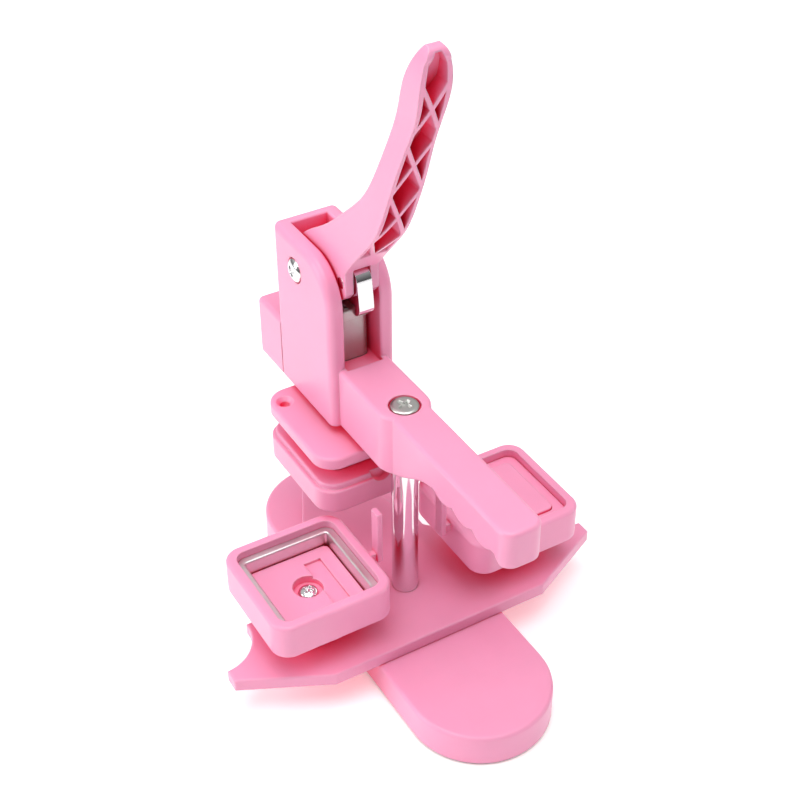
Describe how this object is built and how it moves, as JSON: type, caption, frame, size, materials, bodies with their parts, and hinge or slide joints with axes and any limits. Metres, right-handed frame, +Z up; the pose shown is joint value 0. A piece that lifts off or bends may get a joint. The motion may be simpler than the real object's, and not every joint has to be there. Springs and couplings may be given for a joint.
{
  "type": "button badge maker",
  "caption": "Hand press with a swivelling two-die tray, a lever-driven ram and a grip arm on a chromed column, for square pin badges.",
  "frame": {"origin": "on the column's axis, in the plane of the anti-slip pad's underside that the press stands on", "axes": "+X along the arm towards the end of its grip, +Y towards the right-hand die, +Z up the column"},
  "size_m": [0.2018, 0.1864, 0.2947],
  "materials": {
    "pink_plastic": "glossy moulded",
    "chrome_steel": "polished",
    "stainless_sheet": "bright rolled",
    "cast_steel": "grey mottled casting",
    "satin_nickel": "satin",
    "zinc_steel": "bright zinc",
    "spring_steel": "drawn wire",
    "dark_pad": "matt foam rubber",
    "white_nylon": "natural"
  },
  "bodies": {
    "base": {"antislip_pad": "dark_pad", "base_shell": "pink_plastic", "base_cover": "pink_plastic", "cover_screws": "zinc_steel", "column": "chrome_steel", "column_bolt": "zinc_steel", "thrust_washer": "white_nylon", "press_frame": "pink_plastic", "arm_screw": "satin_nickel", "lever_axle": "chrome_steel", "axle_caps": "chrome_steel"},
    "tray": {"tray_plate": "pink_plastic", "tray_bush": "white_nylon", "left_pedestal": "pink_plastic", "left_cup": "pink_plastic", "left_crimp_ring": "stainless_sheet", "left_core": "pink_plastic", "left_die_screw": "chrome_steel", "right_pedestal": "pink_plastic", "right_cup": "pink_plastic", "right_core": "pink_plastic", "right_die_screw": "chrome_steel", "right_die_pin": "chrome_steel", "collar_springs": "spring_steel"},
    "floating_collar": {"right_collar": "pink_plastic"},
    "lever": {"lever": "pink_plastic", "link_pin": "chrome_steel"},
    "link": {"link": "chrome_steel"},
    "ram": {"ram": "cast_steel", "ram_pin": "chrome_steel", "upper_plate": "pink_plastic", "upper_core": "pink_plastic", "ram_screw": "zinc_steel"},
    "upper_sleeve": {"upper_collar": "pink_plastic"}
  },
  "joints": [
    {"name": "tray_swivel", "type": "hinge", "parent": "base", "child": "tray", "pos_m": [0, 0, 0.02], "axis": [0, 0, 1], "range_deg": [-90, 90]},
    {"name": "collar_slide", "type": "slide", "parent": "tray", "child": "floating_collar", "axis": [0, 0, -1], "range_m": [0, 0.003], "stiffness_N_per_m": 2000, "springref_m": -0.0015, "deforming": ["collar_springs"]},
    {"name": "lever_press", "type": "hinge", "parent": "base", "child": "lever", "pos_m": [-0.0655, 0, 0.162], "axis": [0, 1, 0], "range_deg": [0, 32.5], "stiffness_Nm_per_rad": 0.8, "springref_deg": -45.84},
    {"name": "link_swing", "type": "hinge", "parent": "lever", "child": "link", "pos_m": [-0.0385, 0, 0.168], "axis": [0, 1, 0], "range_deg": [-32.5, 0]},
    {"name": "ram_slide", "type": "slide", "parent": "base", "child": "ram", "axis": [0, 0, -1], "range_m": [0, 0.015]},
    {"name": "sleeve_slide", "type": "slide", "parent": "base", "child": "upper_sleeve", "axis": [0, 0, -1], "range_m": [0, 0.0048]}
  ],
  "couplings": [
    {"joint": "link_swing", "follows": "lever_press", "ratio": -1},
    {"joint": "ram_slide", "follows": "lever_press", "m_per_rad": 0.026444},
    {"joint": "sleeve_slide", "follows": "lever_press", "m_per_rad": 0.008462}
  ]
}
